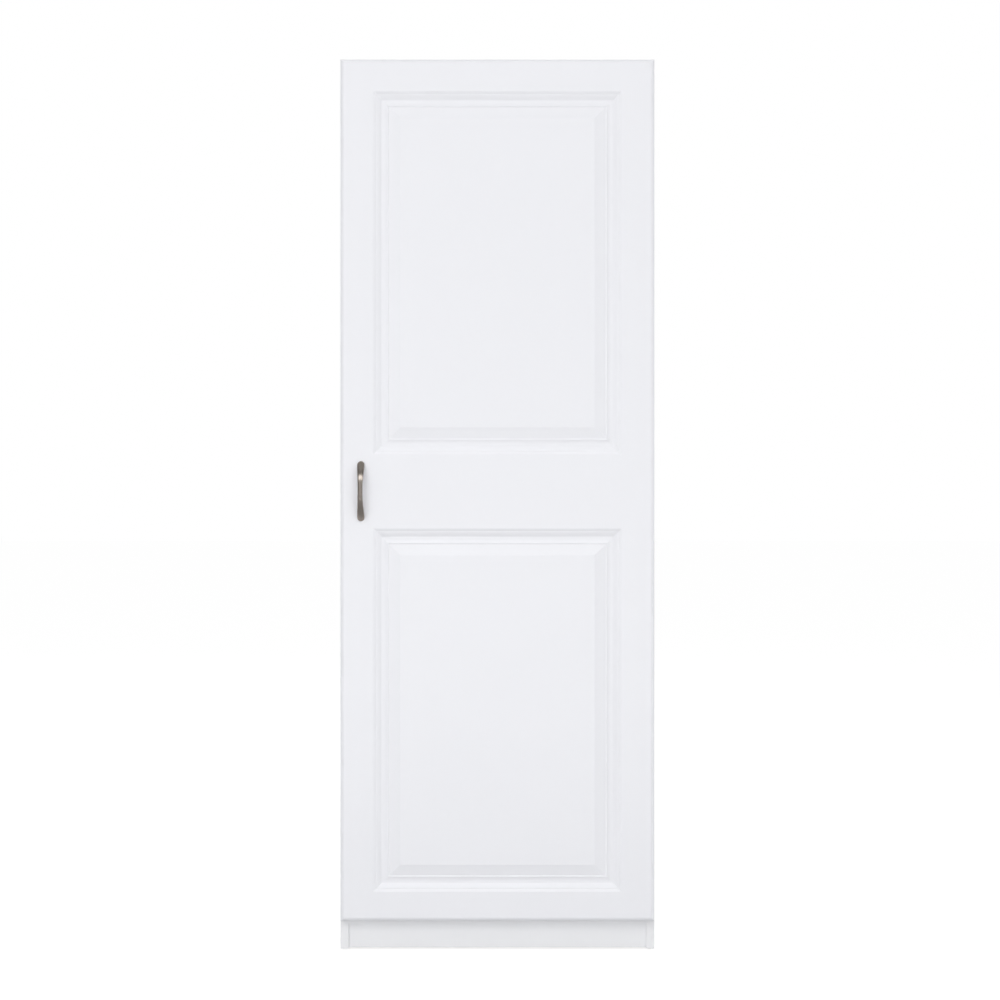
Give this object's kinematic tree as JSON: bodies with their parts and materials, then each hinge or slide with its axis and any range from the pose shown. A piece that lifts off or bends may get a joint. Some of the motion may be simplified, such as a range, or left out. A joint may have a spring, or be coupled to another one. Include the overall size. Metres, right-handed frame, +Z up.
{
  "type": "tall utility cabinet",
  "caption": "Tall floor-standing utility cabinet with a moulded full-height door on concealed hinges, an arched pull, fixed and loose shelves and a plinth.",
  "frame": {"origin": "on the floor, at the middle of the cabinet's width and of its whole depth, handle included", "axes": "+Z up, the door faces -Y, +X to the right seen from the front"},
  "size_m": [0.61, 0.499, 1.727],
  "materials": {
    "white_board": "white melamine-faced board, low sheen",
    "white_door": "white thermofoil over fibreboard, satin",
    "hardboard": "thin hardboard, white on the inner face",
    "white_plastic": "moulded white plastic",
    "cast_zinc": "die-cast zinc",
    "bright_steel": "nickel-plated steel",
    "beech": "plain beech",
    "satin_nickel": "satin nickel",
    "clear_bumper": "soft translucent plastic"
  },
  "bodies": {
    "carcass": {"side_panel_left": "white_board", "side_panel_right": "white_board", "top_panel": "white_board", "bottom_panel": "white_board", "fixed_shelf": "white_board", "toe_kick": "white_board", "nail_rail": "white_board", "back_panel_upper": "hardboard", "back_panel_lower": "hardboard", "foot_glides": "white_plastic", "cam_covers": "white_plastic", "cam_housings": "cast_zinc", "cam_bolts": "bright_steel", "back_panel_nails": "bright_steel", "shelf_pins": "bright_steel", "hinge_arm_lower": "bright_steel", "hinge_arm_middle": "bright_steel", "hinge_arm_upper": "bright_steel", "closing_springs": "bright_steel", "mounting_plate_lower": "bright_steel", "mounting_plate_middle": "bright_steel", "mounting_plate_upper": "bright_steel", "mounting_plate_screws": "bright_steel", "arm_fixing_screws": "bright_steel", "arm_adjusting_screws": "bright_steel", "wood_dowels": "beech"},
    "door": {"door_slab": "white_door", "door_handle": "satin_nickel", "handle_screws": "bright_steel", "door_bumpers": "clear_bumper", "hinge_cup_lower": "bright_steel", "hinge_cup_middle": "bright_steel", "hinge_cup_upper": "bright_steel", "hinge_pin_lower": "bright_steel", "hinge_pin_middle": "bright_steel", "hinge_pin_upper": "bright_steel", "hinge_cup_screws": "bright_steel"},
    "lower_shelf": {"loose_shelf_lower": "white_board"},
    "middle_shelf": {"loose_shelf_middle": "white_board"},
    "upper_shelf": {"loose_shelf_upper": "white_board"}
  },
  "joints": [
    {"name": "door_hinge", "type": "hinge", "parent": "carcass", "child": "door", "pos_m": [0.2964, -0.2155, 0], "axis": [0, 0, 1], "range_deg": [0, 95]},
    {"name": "lower_shelf_lift", "type": "slide", "parent": "carcass", "child": "lower_shelf", "axis": [0, 0, 1], "range_m": [0, 0.03]},
    {"name": "middle_shelf_lift", "type": "slide", "parent": "carcass", "child": "middle_shelf", "axis": [0, 0, 1], "range_m": [0, 0.03]},
    {"name": "upper_shelf_lift", "type": "slide", "parent": "carcass", "child": "upper_shelf", "axis": [0, 0, 1], "range_m": [0, 0.03]}
  ]
}
